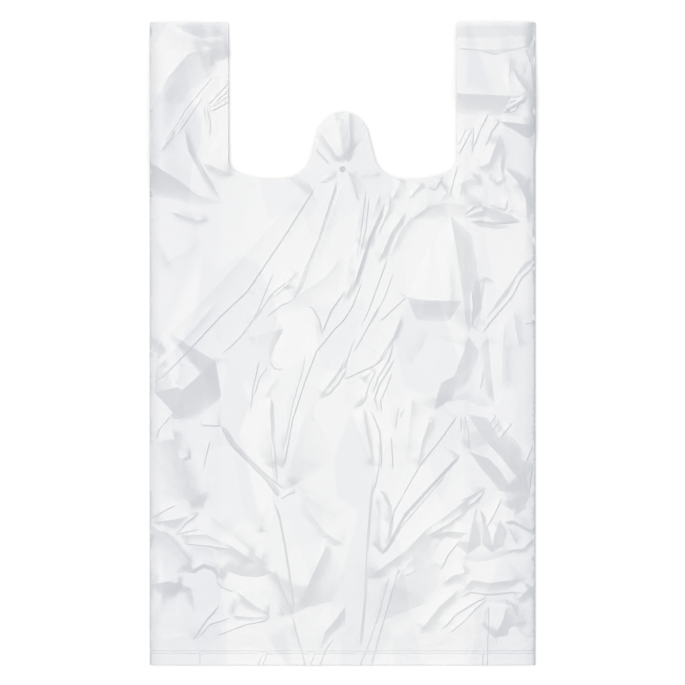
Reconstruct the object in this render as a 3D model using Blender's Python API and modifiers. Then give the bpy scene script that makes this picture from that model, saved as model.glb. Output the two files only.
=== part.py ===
"""Plastic carrier bag with vest handles, lying flat on its back panel.

One tube of blown film is flattened with a gusset tucked in at each side, so the
bag is four layers thick along its sides and two in the middle. It is welded
across the bottom, a little above the cut edge, and across the top of each
handle. A die then cuts the mouth, which leaves the two handles and the hanging
tab between them, and one pin weld joins front and back at the foot of the tab.
The front panel keeps the creases of a bag that was folded, packed and opened.

X runs across the bag and Y along it, towards the handles. The shapes are drawn
from the bottom edge up, and an empty carries them so that the bag is centred.
"""

import math
from typing import NamedTuple

import bmesh
import bpy
from mathutils import Vector

# Flattened bag
BAG_WIDTH = 0.300
BAG_LENGTH = 0.500
GUSSET_DEPTH = 0.055

# Film. Real film is 0.02 mm; it is drawn thick enough to be a solid wall
FILM = 0.0003
LAYER_GAP = 0.0005

# Mouth, measured down from the handle tops
STRAP_WIDTH = 0.0612
MOUTH_DEPTH = 0.122
STRAP_CORNER_RUN = 0.034
STRAP_CORNER_RISE = 0.014
TAB_HEIGHT = 0.052
TAB_TIP_RADIUS = 0.020
TAB_LEAN = math.radians(15)
TAB_FILLET = 0.023

# Welds
SEAL_HEIGHT = 0.010
WELD_WIDTH = 0.002
WELD_BEAD = 0.0001
WELD_SQUEEZE = 0.6
WELD_FLAT = 0.001
WELD_SPREAD = 0.020
PIN_DIAMETER = 0.0044
PIN_ABOVE_MOUTH = 0.0077
PIN_PROUD = 0.0001
PIN_SPREAD = 0.018

# How the layers lie: the back is level 0, the gusset leaves 1 and 2, the front 3
FRONT_LEVEL = 3.0
MIDDLE_LEVEL = 1.7
STEP_RUN = 0.008
EDGE_SPREAD = 0.010

# Mesh of the flat film
ROW_SPACING = 0.025
COLUMN_SPACING = 0.030
KNIFE_SNAP = 0.0012
ARC_STEP = math.radians(9)


class Fold(NamedTuple):
    """One crease of a panel, seen from the front.

    The path is in percent of the half width and of the length. The crest rises
    by `rise`, falls over `left` and `right` to the panel, seen along the path,
    and keeps its full height over the share `hold` of its length.
    """

    path: tuple
    rise: float
    left: float
    right: float
    hold: float = 0.4


FRONT_FOLDS = (
    # Left handle
    Fold(((-90, 99), (-73, 96.6), (-60, 95.6)), 0.0012, 0.010, 0.006),
    Fold(((-99, 84), (-70, 97)), 0.0040, 0.014, 0.024),
    Fold(((-93, 80.3), (-63, 91.5)), 0.0014, 0.004, 0.004),
    Fold(((-71, 86.8), (-58, 90)), 0.0010, 0.003, 0.004),
    Fold(((-70, 85.8), (-58, 87.3)), 0.0010, 0.003, 0.004),
    Fold(((-69, 71), (-77, 77), (-82, 84)), 0.0018, 0.010, 0.008),
    Fold(((-77, 78.8), (-57, 76.4)), 0.0016, 0.005, 0.010),
    Fold(((-99, 78.8), (-82, 74.6), (-60, 71)), 0.0045, 0.012, 0.026),
    Fold(((-92, 70.8), (-72, 68)), 0.0014, 0.008, 0.006),
    # Hanging tab
    Fold(((-13, 84), (3, 77.2)), 0.0018, 0.010, 0.007),
    Fold(((-3, 86.5), (5, 77)), 0.0014, 0.005, 0.006),
    Fold(((1, 76.5), (6, 72.5)), 0.0012, 0.003, 0.004),
    # Right handle
    Fold(((58, 97.8), (88, 97.8), (99, 98.6)), 0.0012, 0.008, 0.008),
    Fold(((58, 96), (78, 95), (98, 96.2)), 0.0016, 0.006, 0.012),
    Fold(((58, 89.2), (98, 88.4)), 0.0030, 0.024, 0.018),
    Fold(((80, 84.6), (98, 88.6)), 0.0014, 0.005, 0.006),
    Fold(((81, 84.4), (99, 83.8)), 0.0028, 0.006, 0.013),
    Fold(((67, 80), (77, 86)), 0.0016, 0.006, 0.006),
    Fold(((74, 76.5), (86, 84)), 0.0024, 0.010, 0.012),
    Fold(((95, 69), (91, 74), (84, 77.5)), 0.0020, 0.008, 0.012),
    Fold(((37, 69.6), (50, 71.6), (76, 71.4)), 0.0016, 0.008, 0.008),
    Fold(((62, 69), (73, 70.8), (97, 68.4)), 0.0024, 0.005, 0.008),
    # Long folds that fan out from the tab
    Fold(((-98.2, 61.4), (-81.6, 64.3), (-71.2, 66.7)), 0.0020, 0.024, 0.016),
    Fold(((-98.7, 48.7), (-65, 59), (-45, 65.6), (-17, 75)), 0.0030, 0.028, 0.012, 0.7),
    Fold(((-98.2, 43.5), (-64, 54.1), (-49.5, 58.2), (-13, 75)), 0.0030, 0.011, 0.005, 0.7),
    Fold(((-25.4, 56.8), (-18.9, 62.1), (-3, 75)), 0.0020, 0.010, 0.008),
    Fold(((-63.5, 48.1), (-47.4, 53.3), (-35, 61.4)), 0.0014, 0.008, 0.004),
    Fold(((-30.8, 55.8), (-9, 60.2), (1.3, 64.3)), 0.0016, 0.014, 0.012),
    Fold(((-49.5, 50.9), (-30.8, 52.4)), 0.0014, 0.014, 0.010),
    Fold(((-36, 30.5), (-37, 41.5)), 0.0014, 0.010, 0.005),
    # Middle
    Fold(((-30.8, 30.5), (-20.5, 43.4), (-13.7, 48.8), (2.3, 54.1)), 0.0024, 0.012, 0.005, 0.7),
    Fold(((-12.2, 41.5), (1.3, 47.7)), 0.0014, 0.008, 0.006),
    Fold(((-31, 27), (-23.6, 35), (-15.3, 40.7), (-5, 39.6)), 0.0036, 0.030, 0.034, 0.6),
    Fold(((1.3, 18.5), (-23.6, 26.6)), 0.0018, 0.008, 0.012),
    Fold(((0.8, 44.5), (21.3, 47.8)), 0.0016, 0.016, 0.005),
    Fold(((17.4, 46.8), (30.8, 54.3)), 0.0016, 0.012, 0.005),
    Fold(((4.9, 48.4), (19.4, 56.2)), 0.0014, 0.007, 0.004),
    Fold(((-1.3, 52.9), (10.1, 59.7)), 0.0014, 0.008, 0.004),
    Fold(((9.1, 52.4), (23.6, 63.6)), 0.0014, 0.006, 0.004),
    Fold(((20, 30.5), (14.2, 39.6)), 0.0016, 0.010, 0.005),
    # Right of the middle
    Fold(((19.4, 53.5), (33.2, 57.3)), 0.0014, 0.010, 0.004),
    Fold(((33.2, 57.3), (45, 56.6), (61.7, 57.1)), 0.0042, 0.045, 0.018, 0.7),
    Fold(((65.5, 51.6), (61.4, 60), (56, 70)), 0.0036, 0.034, 0.018, 0.6),
    Fold(((70.2, 52.1), (87.8, 59.6), (100, 64)), 0.0026, 0.016, 0.007, 0.6),
    Fold(((92.5, 48.7), (88.7, 55.5)), 0.0014, 0.012, 0.010),
    Fold(((47.9, 39.6), (51.3, 43.9), (57.8, 44.9), (65.2, 51.3)), 0.0034, 0.034, 0.014, 0.7),
    Fold(((48.4, 39.6), (65, 41.2), (79.5, 40.2)), 0.0016, 0.008, 0.010),
    Fold(((83.2, 40.6), (83.7, 52.1), (86.8, 55.5)), 0.0022, 0.018, 0.012, 0.6),
    Fold(((38.6, 30.5), (46.4, 39.3)), 0.0016, 0.014, 0.008),
    Fold(((32.9, 30.5), (37, 44.3)), 0.0018, 0.020, 0.014),
    # Broad facet on the left and what lies round it
    Fold(((-97.7, 42.6), (-83.2, 42.8), (-66, 47.3)), 0.0044, 0.044, 0.024, 0.6),
    Fold(((-63, 38.6), (-66, 47.8)), 0.0018, 0.010, 0.014),
    Fold(((-63, 37.1), (-46.4, 30.9), (-32.9, 26.1)), 0.0020, 0.007, 0.005, 0.7),
    Fold(((-71.2, 24.1), (-83.7, 31.5), (-88.9, 37.5)), 0.0026, 0.028, 0.014, 0.5),
    Fold(((-36, 14.7), (-71.2, 24.1)), 0.0020, 0.014, 0.008),
    # Lower left
    Fold(((-98.2, 22.1), (-74.3, 23.6)), 0.0018, 0.014, 0.008),
    Fold(((-86.8, 20), (-71.2, 20.3), (-44.3, 15.7)), 0.0018, 0.016, 0.018, 0.5),
    Fold(((-77.5, 15), (-98.2, 21.6)), 0.0018, 0.022, 0.008),
    Fold(((-99, 12.5), (-81.6, 12.1)), 0.0030, 0.016, 0.014, 0.5),
    Fold(((-77.5, 3.8), (-64, 9.3)), 0.0016, 0.008, 0.004),
    Fold(((-65, 4.6), (-37.6, 7.4)), 0.0016, 0.006, 0.004),
    Fold(((-54.7, 11.4), (-38.1, 7.9)), 0.0014, 0.010, 0.006),
    Fold(((-25.1, 7.7), (-29.8, 17.5), (-36, 25.6)), 0.0020, 0.014, 0.005, 0.6),
    Fold(((-24.6, 7.9), (-19.4, 12.2), (-7.8, 19.7)), 0.0030, 0.022, 0.020, 0.6),
    Fold(((-16, 0), (1.3, 9.1)), 0.0014, 0.010, 0.006),
    # Upright pleat in the middle
    Fold(((8.6, 0), (11.1, 10), (16.5, 30.3)), 0.0026, 0.014, 0.005, 0.7),
    # Fan of folds right of the pleat
    Fold(((24.6, 21.6), (59.8, 39)), 0.0020, 0.008, 0.005, 0.7),
    Fold(((20.5, 17.2), (43.3, 27.2), (60.9, 32.6)), 0.0024, 0.014, 0.006, 0.7),
    Fold(((13.2, 13.5), (43.3, 21), (74.9, 27.5)), 0.0026, 0.018, 0.008, 0.7),
    Fold(((51, 14.7), (60.6, 19.3)), 0.0014, 0.010, 0.004),
    Fold(((14, 6), (30, 14), (58, 24)), 0.0026, 0.034, 0.028, 0.6),
    Fold(((12, 0), (19.4, 5.1), (29, 15.2)), 0.0018, 0.007, 0.005, 0.7),
    # Lower right
    Fold(((65, 39), (81.6, 32.5), (97, 26.7)), 0.0040, 0.016, 0.024, 0.6),
    Fold(((66, 33.1), (81.6, 30.3), (89.5, 24)), 0.0030, 0.024, 0.009, 0.6),
    Fold(((65, 17.2), (69.2, 24.5)), 0.0020, 0.016, 0.010),
    Fold(((77.5, 17.5), (81.6, 22.5)), 0.0018, 0.010, 0.009),
    Fold(((83.7, 22.2), (99, 20.4)), 0.0014, 0.008, 0.005),
    Fold(((60.9, 11), (67.1, 13.2), (95, 13.5)), 0.0024, 0.030, 0.008, 0.6),
    Fold(((51.6, 5.4), (75.4, 10.5)), 0.0018, 0.008, 0.004, 0.6),
    Fold(((78.5, 4.3), (84.9, 10.2)), 0.0020, 0.014, 0.010),
)

# Shallow creases of the back panel, pressed up between the panel and the floor
BACK_FOLDS = (
    Fold(((-55, 8), (-20, 30)), 0.0007, 0.012, 0.010),
    Fold(((-50, 62), (-8, 40)), 0.0007, 0.014, 0.012),
    Fold(((-30, 70), (20, 58)), 0.0006, 0.012, 0.012),
    Fold(((5, 10), (18, 45)), 0.0007, 0.012, 0.014),
    Fold(((25, 36), (56, 66)), 0.0007, 0.012, 0.012),
    Fold(((30, 28), (55, 8)), 0.0006, 0.012, 0.010),
)

EDGE = BAG_WIDTH / 2 - FILM / 2
PITCH = FILM + LAYER_GAP
NOSE = PITCH / 2
GUSSET_EDGE = EDGE - GUSSET_DEPTH
STEP_EDGE = GUSSET_EDGE - STEP_RUN
STRAP_EDGE = BAG_WIDTH / 2 - STRAP_WIDTH
TOP = BAG_LENGTH - WELD_BEAD
MOUTH_Y = BAG_LENGTH - MOUTH_DEPTH
PIN_Y = MOUTH_Y + PIN_ABOVE_MOUTH


def clamp(value):
    return max(0.0, min(1.0, value))


def clear_scene():
    for obj in list(bpy.data.objects):
        bpy.data.objects.remove(obj, do_unlink=True)


def new_collection(name):
    collection = bpy.data.collections.new(name)
    bpy.context.scene.collection.children.link(collection)
    return collection


def new_object(name, data, collection):
    obj = bpy.data.objects.new(name, data)
    collection.objects.link(obj)
    return obj


def mesh_from(bm, name):
    mesh = bpy.data.meshes.new(name)
    bm.to_mesh(mesh)
    bm.free()
    return mesh


def film_material():
    """Clear polyethylene, which looks white and a little blue in several layers."""
    material = bpy.data.materials.new("blown_polyethylene_film")
    material.use_nodes = True
    shader = material.node_tree.nodes["Principled BSDF"]
    shader.inputs["Base Color"].default_value = (0.83, 0.86, 0.90, 1.0)
    shader.inputs["Roughness"].default_value = 0.28
    shader.inputs["Metallic"].default_value = 0.0
    shader.inputs["IOR"].default_value = 1.51
    material.diffuse_color = (0.83, 0.86, 0.90, 1.0)
    return material


# How high each layer lies


def squeeze(y):
    """Share of the loose layer spacing that is left near a weld."""
    to_weld = min(abs(y - SEAL_HEIGHT), max(TOP - y, 0.0))
    loose = clamp((to_weld - WELD_WIDTH / 2 - WELD_FLAT) / WELD_SPREAD)
    return WELD_SQUEEZE + (1 - WELD_SQUEEZE) * loose


def front_level(x, y):
    """The front lies on the gusset leaves at the sides and sinks between them."""
    over_gusset = clamp((abs(x) - STEP_EDGE) / STEP_RUN)
    return MIDDLE_LEVEL + (FRONT_LEVEL - MIDDLE_LEVEL) * over_gusset


def layer_height(level, y):
    return FILM / 2 + level * PITCH * squeeze(y)


def freedom(x, y):
    """0 where a weld or a side fold holds the film flat, 1 where it is free."""
    side = clamp((EDGE - abs(x)) / EDGE_SPREAD)
    to_weld = min(abs(y - SEAL_HEIGHT), max(TOP - y, 0.0))
    weld = clamp((to_weld - WELD_WIDTH / 2 - WELD_FLAT) / WELD_SPREAD)
    to_pin = math.hypot(x, y - PIN_Y) - PIN_DIAMETER
    return side * weld * clamp(to_pin / PIN_SPREAD)


# Creases


def placed(fold):
    """The path of a fold in metres."""
    return [Vector((x / 100 * BAG_WIDTH / 2, y / 100 * BAG_LENGTH)) for x, y in fold.path]


def runs(path):
    """Each straight run of a path: its start, direction, length and distance so far."""
    done = 0.0
    for start, end in zip(path, path[1:]):
        length = (end - start).length
        yield start, (end - start) / length, length, done
        done += length


def strength(fold, share):
    """How much of its rise a fold has at this share of its length."""
    ramp = (1 - fold.hold) / 2
    return clamp(min(share, 1 - share) / ramp)


def fold_height(fold, path, point):
    """Height that one fold adds at a point: straight flanks under a sharp crest."""
    total = sum(length for _, _, length, _ in runs(path))
    best = None
    for start, along, length, done in runs(path):
        offset = point - start
        t = max(0.0, min(length, offset.dot(along)))
        away = (offset - along * t).length
        if best is None or away < best[0]:
            side = along.x * offset.y - along.y * offset.x
            best = (away, side, (done + t) / total)
    away, side, share = best
    flank = fold.left if side > 0 else fold.right
    return fold.rise * max(0.0, strength(fold, share) - away / flank)


def relief(folds, paths, x, y):
    point = Vector((x, y))
    height = sum(fold_height(fold, path, point) for fold, path in zip(folds, paths))
    return height * freedom(x, y)


def knife(bm, level, start, end):
    """Cuts the faces of one panel along a straight line between two points."""
    along = end - start
    length = along.length
    along.normalize()
    across = Vector((-along.y, along.x))
    cut = []
    for face in bm.faces:
        if any(abs(vert.co.z - level * PITCH) > PITCH / 10 for vert in face.verts):
            continue
        offsets = [vert.co.xy - start for vert in face.verts]
        reach = [offset.dot(along) for offset in offsets]
        sides = [offset.dot(across) for offset in offsets]
        if max(reach) > 0 and min(reach) < length and max(sides) > 0 > min(sides):
            cut.append(face)
    edges = {edge for face in cut for edge in face.edges}
    verts = {vert for face in cut for vert in face.verts}
    bmesh.ops.bisect_plane(
        bm,
        geom=cut + list(edges) + list(verts),
        dist=KNIFE_SNAP,
        plane_co=start.to_3d(),
        plane_no=across.to_3d(),
    )


def foot(fold, path, flank):
    """The line along which a flank ends. A flank to the right of the path is positive."""
    total = sum(length for _, _, length, _ in runs(path))
    ramp = (1 - fold.hold) / 2
    line = [path[0]]
    for start, along, length, done in runs(path):
        across = Vector((along.y, -along.x)) * flank
        turns = {clamp((share * total - done) / length) for share in (ramp, 1 - ramp)}
        for t in sorted(turns | {0.0, 1.0}):
            full = strength(fold, (done + t * length) / total)
            if full > 0:
                line.append(start + along * length * t + across * full)
    return line + [path[-1]]


def knife_fold(bm, level, fold):
    """Cuts a panel along the crest of a fold and along the foot of each flank."""
    path = placed(fold)
    for line in (path, foot(fold, path, -fold.left), foot(fold, path, fold.right)):
        for start, end in zip(line, line[1:]):
            knife(bm, level, start, end)


# Film


def panel_columns():
    """Where the columns of the front and back panels stand, from left to right."""
    sides = [STEP_EDGE, GUSSET_EDGE, EDGE - NOSE]
    count = max(1, round(STEP_EDGE / COLUMN_SPACING))
    inner = [STEP_EDGE * i / count for i in range(count)]
    half = inner + [sides[0], sides[1], (sides[1] + sides[2]) / 2, sides[2]]
    return [-x for x in reversed(half[1:])] + half


def tube_section():
    """The flattened tube seen from its end: (x, level) all the way round."""
    gusset = [
        (EDGE, 0.5),
        (EDGE - NOSE, 1),
        (GUSSET_EDGE + NOSE, 1),
        (GUSSET_EDGE, 1.5),
        (GUSSET_EDGE + NOSE, 2),
        (EDGE - NOSE, 2),
        (EDGE, 2.5),
    ]
    columns = panel_columns()
    back = [(x, 0) for x in columns]
    front = [(x, FRONT_LEVEL) for x in reversed(columns)]
    other_gusset = [(-x, level) for x, level in reversed(gusset)]
    return back + gusset + front + other_gusset


def row_heights():
    """Rows of the film, close together where a weld squeezes it."""
    low = SEAL_HEIGHT - WELD_WIDTH / 2 - WELD_FLAT
    high = SEAL_HEIGHT + WELD_WIDTH / 2 + WELD_FLAT
    top = TOP - WELD_WIDTH / 2 - WELD_FLAT
    count = max(1, round((top - high - 2 * WELD_SPREAD) / ROW_SPACING))
    first = high + WELD_SPREAD
    step = (top - WELD_SPREAD - first) / count
    return [0.0, low, high] + [first + step * i for i in range(count + 1)] + [top, TOP]


def blown_tube():
    """The flat tube, drawn out row by row along the bag."""
    bm = bmesh.new()
    rows = row_heights()
    ring = [bm.verts.new((x, rows[0], level * PITCH)) for x, level in tube_section()]
    edges = [bm.edges.new(pair) for pair in zip(ring, ring[1:] + ring[:1])]
    for last, row in zip(rows, rows[1:]):
        drawn = bmesh.ops.extrude_edge_only(bm, edges=edges)["geom"]
        edges = [item for item in drawn if isinstance(item, bmesh.types.BMEdge)]
        verts = [item for item in drawn if isinstance(item, bmesh.types.BMVert)]
        bmesh.ops.translate(bm, verts=verts, vec=(0.0, row - last, 0.0))
    return bm


def settle(bm):
    """Lays each layer at its height and raises the creases."""
    front_paths = [placed(fold) for fold in FRONT_FOLDS]
    back_paths = [placed(fold) for fold in BACK_FOLDS]
    for vert in bm.verts:
        x, y, _ = vert.co
        level = vert.co.z / PITCH
        if level > FRONT_LEVEL - 0.1:
            height = layer_height(front_level(x, y), y)
            vert.co.z = height + relief(FRONT_FOLDS, front_paths, x, y)
        elif level < 0.1:
            vert.co.z = layer_height(0, y) + relief(BACK_FOLDS, back_paths, x, y)
        else:
            vert.co.z = layer_height(level, y)


def folded_film(collection):
    bm = blown_tube()
    for fold in FRONT_FOLDS:
        knife_fold(bm, FRONT_LEVEL, fold)
    for fold in BACK_FOLDS:
        knife_fold(bm, 0, fold)
    settle(bm)
    bmesh.ops.triangulate(bm, faces=bm.faces[:])
    bmesh.ops.recalc_face_normals(bm, faces=bm.faces[:])
    bag = new_object("carrier_bag", mesh_from(bm, "carrier_bag"), collection)
    wall = bag.modifiers.new("film thickness", "SOLIDIFY")
    wall.thickness = FILM
    wall.offset = 0.0
    return bag


# Welds and mouth


def weld_bar(name, left, right, low, high, collection):
    """A weld: it fills the gaps between the layers, from the back film to the front."""
    stops = {-EDGE, -GUSSET_EDGE, -STEP_EDGE, STEP_EDGE, GUSSET_EDGE, EDGE}
    stops = sorted({x for x in stops if left < x < right} | {left, right})
    middle = (low + high) / 2
    bm = bmesh.new()
    near = [
        bm.verts.new((x, low, layer_height(front_level(x, middle), middle))) for x in stops
    ]
    edges = [bm.edges.new(pair) for pair in zip(near, near[1:])]
    drawn = bmesh.ops.extrude_edge_only(bm, edges=edges)["geom"]
    far = [item for item in drawn if isinstance(item, bmesh.types.BMVert)]
    bmesh.ops.translate(bm, verts=far, vec=(0.0, high - low, 0.0))
    drawn = bmesh.ops.extrude_face_region(bm, geom=bm.faces[:])["geom"]
    for item in drawn:
        if isinstance(item, bmesh.types.BMVert):
            item.co.z = layer_height(0, middle)
    bmesh.ops.triangulate(bm, faces=bm.faces[:])
    bmesh.ops.recalc_face_normals(bm, faces=bm.faces[:])
    return new_object(name, mesh_from(bm, name), collection)


def pin_weld(collection):
    """The round weld that pins front and back together at the foot of the tab."""
    low = layer_height(0, PIN_Y)
    high = layer_height(front_level(0.0, PIN_Y), PIN_Y) + FILM / 2 + PIN_PROUD
    bm = bmesh.new()
    bmesh.ops.create_cone(
        bm,
        cap_ends=True,
        segments=20,
        radius1=PIN_DIAMETER / 2,
        radius2=PIN_DIAMETER / 2,
        depth=high - low,
    )
    bmesh.ops.translate(bm, verts=bm.verts[:], vec=(0.0, PIN_Y, (high + low) / 2))
    return new_object("pin_weld", mesh_from(bm, "pin_weld"), collection)


def arc(centre, radii, first, last):
    """Points on an arc of an ellipse, from one angle to the other."""
    count = max(2, math.ceil(abs(last - first) / ARC_STEP))
    angles = [first + (last - first) * i / count for i in range(count + 1)]
    return [
        (centre[0] + radii[0] * math.cos(a), centre[1] + radii[1] * math.sin(a))
        for a in angles
    ]


def mouth_half():
    """Right half of the mouth's outline, from the tip of the tab to the handle."""
    tip_y = MOUTH_Y + TAB_HEIGHT - TAB_TIP_RADIUS
    lean = TAB_LEAN
    down = tip_y + TAB_TIP_RADIUS * math.sin(lean) - MOUTH_Y
    tangent_x = TAB_TIP_RADIUS * math.cos(lean)
    reach = TAB_FILLET - (TAB_FILLET - down) * math.sin(lean)
    fillet_x = tangent_x + reach / math.cos(lean)
    room = STRAP_EDGE - fillet_x
    corner_run = min(STRAP_CORNER_RUN, room)
    tip = arc((0.0, tip_y), (TAB_TIP_RADIUS, TAB_TIP_RADIUS), math.pi / 2, lean)
    fillet = arc(
        (fillet_x, MOUTH_Y + TAB_FILLET),
        (TAB_FILLET, TAB_FILLET),
        math.pi + lean,
        1.5 * math.pi,
    )
    corner = arc(
        (STRAP_EDGE - corner_run, MOUTH_Y + STRAP_CORNER_RISE),
        (corner_run, STRAP_CORNER_RISE),
        -math.pi / 2,
        0.0,
    )
    return tip + fillet + corner + [(STRAP_EDGE, BAG_LENGTH + MOUTH_DEPTH / 10)]


def mouth_die(collection):
    """The die that cuts the mouth through all layers between the handles."""
    half = mouth_half()
    outline = [(-x, y) for x, y in reversed(half[1:])] + half
    deep = 20 * PITCH
    curve = bpy.data.curves.new("mouth_outline", "CURVE")
    curve.dimensions = "2D"
    curve.fill_mode = "BOTH"
    curve.extrude = deep
    spline = curve.splines.new("POLY")
    spline.points.add(len(outline) - 1)
    for point, (x, y) in zip(spline.points, outline):
        point.co = (x, y, 0.0, 1.0)
    spline.use_cyclic_u = True
    guide = new_object("mouth_outline", curve, collection)
    evaluated = guide.evaluated_get(bpy.context.evaluated_depsgraph_get())
    bm = bmesh.new()
    bm.from_mesh(evaluated.to_mesh())
    evaluated.to_mesh_clear()
    bpy.data.objects.remove(guide, do_unlink=True)
    bmesh.ops.remove_doubles(bm, verts=bm.verts[:], dist=1e-6)
    bmesh.ops.recalc_face_normals(bm, faces=bm.faces[:])
    return new_object("mouth_die", mesh_from(bm, "mouth_die"), collection)


def combine(obj, other, operation):
    modifier = obj.modifiers.new(other.name, "BOOLEAN")
    modifier.operation = operation
    modifier.solver = "EXACT"
    modifier.object = other


def build():
    clear_scene()
    bag_parts = new_collection("plastic_carrier_bag")
    helpers = new_collection("welds_and_die")
    bag = folded_film(bag_parts)
    seal = (SEAL_HEIGHT - WELD_WIDTH / 2, SEAL_HEIGHT + WELD_WIDTH / 2)
    top = (BAG_LENGTH - WELD_WIDTH, BAG_LENGTH)
    past_cut = STRAP_EDGE - WELD_WIDTH
    welds = (
        weld_bar("bottom_seal", -EDGE, EDGE, *seal, helpers),
        weld_bar("left_handle_weld", -EDGE, -past_cut, *top, helpers),
        weld_bar("right_handle_weld", past_cut, EDGE, *top, helpers),
        pin_weld(helpers),
    )
    for weld in welds:
        combine(bag, weld, "UNION")
    combine(bag, mouth_die(helpers), "DIFFERENCE")
    bag.data.materials.append(film_material())
    centre = new_object("bag_centre", None, bag_parts)
    centre.location.y = -BAG_LENGTH / 2
    bag.parent = centre
    for helper in helpers.objects:
        helper.parent = centre
        helper.hide_render = True
        helper.display_type = "WIRE"


build()
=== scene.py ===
"""Looks of a plastic carrier bag that lies flat: blown film, creased from being packed."""

import math
from typing import NamedTuple

import bmesh
import bpy
import numpy as np
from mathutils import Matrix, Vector


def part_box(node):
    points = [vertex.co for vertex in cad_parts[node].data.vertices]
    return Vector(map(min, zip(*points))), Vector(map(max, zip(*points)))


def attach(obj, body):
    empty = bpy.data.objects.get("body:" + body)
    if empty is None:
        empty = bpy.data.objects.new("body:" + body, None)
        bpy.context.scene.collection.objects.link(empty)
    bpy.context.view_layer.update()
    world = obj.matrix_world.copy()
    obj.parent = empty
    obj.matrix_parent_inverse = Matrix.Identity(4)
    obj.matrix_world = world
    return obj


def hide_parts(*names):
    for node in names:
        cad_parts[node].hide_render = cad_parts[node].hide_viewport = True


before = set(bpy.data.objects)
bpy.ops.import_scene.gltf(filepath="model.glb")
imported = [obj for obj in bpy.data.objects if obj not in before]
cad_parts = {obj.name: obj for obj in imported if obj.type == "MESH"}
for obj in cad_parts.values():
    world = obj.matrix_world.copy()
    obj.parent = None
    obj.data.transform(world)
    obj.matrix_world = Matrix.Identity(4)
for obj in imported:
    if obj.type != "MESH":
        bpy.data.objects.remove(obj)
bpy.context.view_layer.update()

# Sizes of the bag, in metres; the width and the length come from the solid
LOW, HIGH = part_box("carrier_bag")
BAG_WIDTH = HIGH.x - LOW.x
BAG_LENGTH = HIGH.y - LOW.y
GUSSET_DEPTH = 0.055
STRAP_WIDTH = 0.0612
MOUTH_DEPTH = 0.122
STRAP_CORNER_RUN = 0.034
STRAP_CORNER_RISE = 0.014
TAB_HEIGHT = 0.052
TAB_TIP_RADIUS = 0.020
TAB_LEAN = math.radians(15)
TAB_FILLET = 0.023
SEAL_HEIGHT = 0.010
SEAL_WIDTH = 0.0020
SEAL_BEAD = 0.0003
SEAL_BEAD_RISE = 0.3
PIN_DIAMETER = 0.0044
PIN_ABOVE_MOUTH = 0.0077
PIN_PROUD = 0.0001

# Film as it is drawn here. A level counts the layers up from the back panel
FILM = 0.00008
LAYER_PITCH = 0.0003
BACK_LEVEL = 0
BACK_LEAF = 1
FRONT_LEAF = 2
FRONT_LEVEL = 3.0
MIDDLE_LEVEL = 2.7
LEVEL_TOLERANCE = 0.1
LEAST_CLEARANCE = 0.8

# How loosely the layers lie, and how far welds and side folds hold them down
STEP_RUN = 0.008
EDGE_SPREAD = 0.010
EDGE_HOLD = 0.5
BILLOW = 0.0006
BILLOW_SPREAD = 0.050
WELD_PRESS = 0.8
WELD_HOLD = 0.65
WELD_SPREAD = 0.020
WELD_FLAT = 0.002
PIN_SPREAD = 0.003

# Mesh
ROW_SPACING = 0.020
COLUMN_SPACING = 0.020
KNIFE_SNAP = 0.0004
MERGE_DISTANCE = 0.00001
FRONT_EDGE_LENGTH = 0.0039
BACK_EDGE_LENGTH = 2 * FRONT_EDGE_LENGTH
ARC_STEP = math.radians(5)
NOSE_ROUND = 0.3
PIN_STEPS = 40
PIN_PROFILE = (
    (0.0, -0.00010),
    (0.45, -0.00008),
    (0.80, 0.00002),
    (0.92, 0.00016),
    (1.0, 0.00006),
    (1.0, -0.00030),
)

# Photograph: one pixel is this many metres on the floor; lens and sensor are in millimetres
PIXEL = 0.0007785
PICTURE = 685
BAG_CENTRE_PIXEL = (342.5, 343.5)
LENS = 200.0
SENSOR = 36.0

# How a crease's flanks fade out, and the flank widths whose foot isn't a sharp line
CRISP = 1.2
SOFT = 2.0
SOFT_FEET = (0.0030, 0.0085)

# Real sizes of the patterns in the film and in the weld, and of the painted shade that lies in
# soft patches over the film and along its side folds
DRAW_LINE_SPACING = 0.004
DRAW_LINE_DEPTH = 0.0002
DRAW_STRETCH = 0.06
RUMPLE_SIZE = 0.014
RUMPLE_DEPTH = 0.0010
# Painted shade lies in soft patches of this size over the film
SHADE_PATCH_SIZE = 0.030
TINT_EDGE = 0.0006
FOLD_SHADE = 0.010
MELT_GRAIN = 0.0012

FLOOR_REACH = 3.0
FLOOR_DROP = 0.0002
FLOOR_GLOW = 0.115

# Light: each lamp is a round patch of sky with its own direction, level and spread
WORLD_LEVEL = 0.76
OVERHEAD_DIRECTION = (-0.03, 0.03, 1.0)
OVERHEAD_LEVEL = 0.45
OVERHEAD_SPREAD = math.radians(26)
KEY_DIRECTION = (-0.55, 0.55, 1.0)
KEY_LEVEL = 1.35
KEY_SPREAD = math.radians(48)
LAMP_COLOUR = "#FFF9F0"
FILL_COLOUR = "#F3F7FD"

HALF = BAG_WIDTH / 2
EDGE = HALF - FILM / 2
NOSE = LAYER_PITCH / 2
GUSSET_EDGE = EDGE - GUSSET_DEPTH
STEP_EDGE = GUSSET_EDGE - STEP_RUN
STRAP_EDGE = HALF - STRAP_WIDTH
BOTTOM = -BAG_LENGTH / 2
TOP = BAG_LENGTH / 2
SEAL_Y = BOTTOM + SEAL_HEIGHT
MOUTH_Y = TOP - MOUTH_DEPTH
PIN_Y = MOUTH_Y + PIN_ABOVE_MOUTH


class Fold(NamedTuple):
    """A crease: its path in percent of the half width and of the length, its rise, how
    far it falls off to the left and right of the path, both in metres, the share of its
    length over which it keeps its full height, and how its flanks fade out."""

    path: tuple
    rise: float
    left: float
    right: float
    hold: float = 0.4
    curve: float = CRISP


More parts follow.
